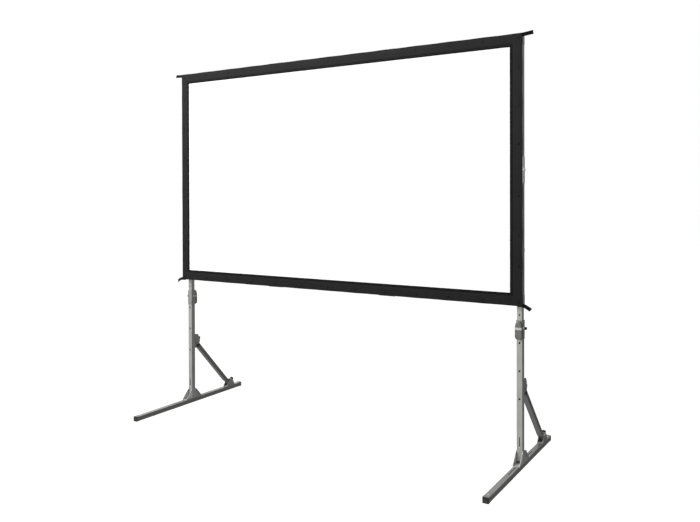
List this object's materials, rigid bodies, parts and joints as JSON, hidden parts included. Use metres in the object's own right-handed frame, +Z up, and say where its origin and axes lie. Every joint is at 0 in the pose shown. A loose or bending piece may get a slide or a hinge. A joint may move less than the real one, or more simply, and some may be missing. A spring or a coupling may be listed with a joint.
{
  "type": "outdoor projection screen",
  "caption": "Free-standing projection screen: white cloth with a black border on a folding square-tube frame, on T-shaped legs with telescoping posts and rear braces.",
  "frame": {"origin": "on the ground, midway between the legs, on the line through both posts' centres", "axes": "+X across the picture to the audience's right, -Y towards the audience, +Z up"},
  "size_m": [2.9436, 1.19, 2.668],
  "materials": {
    "picture_cloth": "matte white coated screen cloth",
    "border_cloth": "black coated border cloth, slight sheen",
    "webbing": "black woven webbing",
    "frame_tube": "satin anodised square tube",
    "post_metal": "satin anodised square tube, slightly warm",
    "dark_metal": "darker satin anodised tube and pressed brackets",
    "steel": "bright brushed steel",
    "clamp_plastic": "grey moulded plastic",
    "knob_plastic": "black moulded plastic",
    "rubber": "dark rubber"
  },
  "bodies": {
    "root": {"picture_cloth": "picture_cloth", "border_cloth": "border_cloth", "pull_tab_bottom_left": "webbing", "pull_tab_bottom_right": "webbing", "bottom_rail_left": "frame_tube", "bottom_rail_centre": "frame_tube", "bottom_rail_right": "frame_tube", "bottom_rail_joint_left": "dark_metal", "bottom_rail_joint_right": "dark_metal", "bottom_corner_left": "frame_tube", "bottom_corner_right": "frame_tube", "leg_plate_left": "dark_metal", "upper_post_left": "post_metal", "leg_plate_right": "dark_metal", "upper_post_right": "post_metal"},
    "top_rail": {"top_rail_left": "frame_tube", "top_rail_centre": "frame_tube", "top_rail_right": "frame_tube", "top_rail_joint_left": "dark_metal", "top_rail_joint_right": "dark_metal", "top_corner_left": "frame_tube", "top_corner_right": "frame_tube", "pull_tab_top_left": "webbing", "pull_tab_top_right": "webbing"},
    "side_lower_left": {"side_tube_lower_left": "frame_tube", "side_hinge_lower_left": "steel"},
    "side_upper_left": {"side_tube_upper_left": "frame_tube", "side_hinge_upper_left": "steel"},
    "lower_leg_left": {"lower_post_left": "post_metal", "clamp_jaw_left": "clamp_plastic", "clamp_band_left": "steel", "brace_bracket_upper_left": "dark_metal"},
    "foot_left": {"foot_beam_left": "dark_metal", "foot_cap_front_left": "rubber", "foot_cap_rear_left": "rubber", "base_bracket_left": "dark_metal", "brace_bracket_lower_left": "dark_metal"},
    "brace_left": {"brace_left": "dark_metal"},
    "leg_knob_left": {"leg_knob_left": "knob_plastic"},
    "clamp_knob_left": {"clamp_knob_left": "knob_plastic"},
    "brace_knob_upper_left": {"brace_knob_upper_left": "knob_plastic"},
    "brace_knob_lower_left": {"brace_knob_lower_left": "knob_plastic"},
    "side_lower_right": {"side_tube_lower_right": "frame_tube", "side_hinge_lower_right": "steel"},
    "side_upper_right": {"side_tube_upper_right": "frame_tube", "side_hinge_upper_right": "steel"},
    "lower_leg_right": {"lower_post_right": "post_metal", "clamp_jaw_right": "clamp_plastic", "clamp_band_right": "steel", "brace_bracket_upper_right": "dark_metal"},
    "foot_right": {"foot_beam_right": "dark_metal", "foot_cap_front_right": "rubber", "foot_cap_rear_right": "rubber", "base_bracket_right": "dark_metal", "brace_bracket_lower_right": "dark_metal"},
    "brace_right": {"brace_right": "dark_metal"},
    "leg_knob_right": {"leg_knob_right": "knob_plastic"},
    "clamp_knob_right": {"clamp_knob_right": "knob_plastic"},
    "brace_knob_upper_right": {"brace_knob_upper_right": "knob_plastic"},
    "brace_knob_lower_right": {"brace_knob_lower_right": "knob_plastic"}
  },
  "joints": [
    {"name": "frame_fold", "type": "hinge", "parent": "root", "child": "side_lower_left", "pos_m": [-1.3885, -0.0447, 1.0634], "axis": [0, 1, 0], "range_deg": [0, 90], "deforming": ["picture_cloth", "border_cloth"]},
    {"name": "side_left_middle", "type": "hinge", "parent": "side_lower_left", "child": "side_upper_left", "pos_m": [-1.41, -0.0447, 1.832], "axis": [0, 1, 0], "range_deg": [-180, 0]},
    {"name": "top_rail_left_corner", "type": "hinge", "parent": "side_upper_left", "child": "top_rail", "pos_m": [-1.3885, -0.0447, 2.6006], "axis": [0, 1, 0], "range_deg": [0, 90]},
    {"name": "side_right_bottom", "type": "hinge", "parent": "root", "child": "side_lower_right", "pos_m": [1.3885, -0.0447, 1.0634], "axis": [0, 1, 0], "range_deg": [-90, 0]},
    {"name": "side_right_middle", "type": "hinge", "parent": "side_lower_right", "child": "side_upper_right", "pos_m": [1.41, -0.0447, 1.832], "axis": [0, 1, 0], "range_deg": [0, 180]},
    {"name": "leg_height_left", "type": "slide", "parent": "root", "child": "lower_leg_left", "axis": [0, 0, -1], "range_m": [0, 0.344]},
    {"name": "foot_fold_left", "type": "hinge", "parent": "lower_leg_left", "child": "foot_left", "pos_m": [-1.372, 0, 0.06], "axis": [-1, 0, 0], "range_deg": [0, 90]},
    {"name": "brace_swing_left", "type": "hinge", "parent": "lower_leg_left", "child": "brace_left", "pos_m": [-1.372, 0.038, 0.487], "axis": [-1, 0, 0], "range_deg": [0, 43.3]},
    {"name": "leg_knob_turn_left", "type": "hinge", "parent": "root", "child": "leg_knob_left", "pos_m": [-1.372, 0.0276, 1.34], "axis": [0, 1, 0], "continuous": true},
    {"name": "clamp_knob_turn_left", "type": "hinge", "parent": "lower_leg_left", "child": "clamp_knob_left", "pos_m": [-1.402, 0, 0.8645], "axis": [-1, 0, 0], "continuous": true},
    {"name": "brace_knob_upper_turn_left", "type": "hinge", "parent": "lower_leg_left", "child": "brace_knob_upper_left", "pos_m": [-1.372, 0.04348, 0.48117], "axis": [0, 0.7282, 0.6854], "continuous": true},
    {"name": "brace_knob_lower_turn_left", "type": "hinge", "parent": "foot_left", "child": "brace_knob_lower_left", "pos_m": [-1.372, 0.44828, 0.05108], "axis": [0, 0.7282, 0.6854], "continuous": true},
    {"name": "leg_height_right", "type": "slide", "parent": "root", "child": "lower_leg_right", "axis": [0, 0, -1], "range_m": [0, 0.344]},
    {"name": "foot_fold_right", "type": "hinge", "parent": "lower_leg_right", "child": "foot_right", "pos_m": [1.372, 0, 0.06], "axis": [-1, 0, 0], "range_deg": [0, 90]},
    {"name": "brace_swing_right", "type": "hinge", "parent": "lower_leg_right", "child": "brace_right", "pos_m": [1.372, 0.038, 0.487], "axis": [-1, 0, 0], "range_deg": [0, 43.3]},
    {"name": "leg_knob_turn_right", "type": "hinge", "parent": "root", "child": "leg_knob_right", "pos_m": [1.372, 0.0276, 1.34], "axis": [0, 1, 0], "continuous": true},
    {"name": "clamp_knob_turn_right", "type": "hinge", "parent": "lower_leg_right", "child": "clamp_knob_right", "pos_m": [1.402, 0, 0.8645], "axis": [1, 0, 0], "continuous": true},
    {"name": "brace_knob_upper_turn_right", "type": "hinge", "parent": "lower_leg_right", "child": "brace_knob_upper_right", "pos_m": [1.372, 0.04348, 0.48117], "axis": [0, 0.7282, 0.6854], "continuous": true},
    {"name": "brace_knob_lower_turn_right", "type": "hinge", "parent": "foot_right", "child": "brace_knob_lower_right", "pos_m": [1.372, 0.44828, 0.05108], "axis": [0, 0.7282, 0.6854], "continuous": true}
  ],
  "couplings": [
    {"joint": "side_left_middle", "follows": "frame_fold", "ratio": -2},
    {"joint": "top_rail_left_corner", "follows": "frame_fold", "ratio": 1},
    {"joint": "side_right_bottom", "follows": "frame_fold", "ratio": -1},
    {"joint": "side_right_middle", "follows": "frame_fold", "ratio": 2},
    {"joint": "brace_swing_left", "follows": "foot_fold_left", "ratio": 0.48071},
    {"joint": "brace_swing_right", "follows": "foot_fold_right", "ratio": 0.48071}
  ]
}
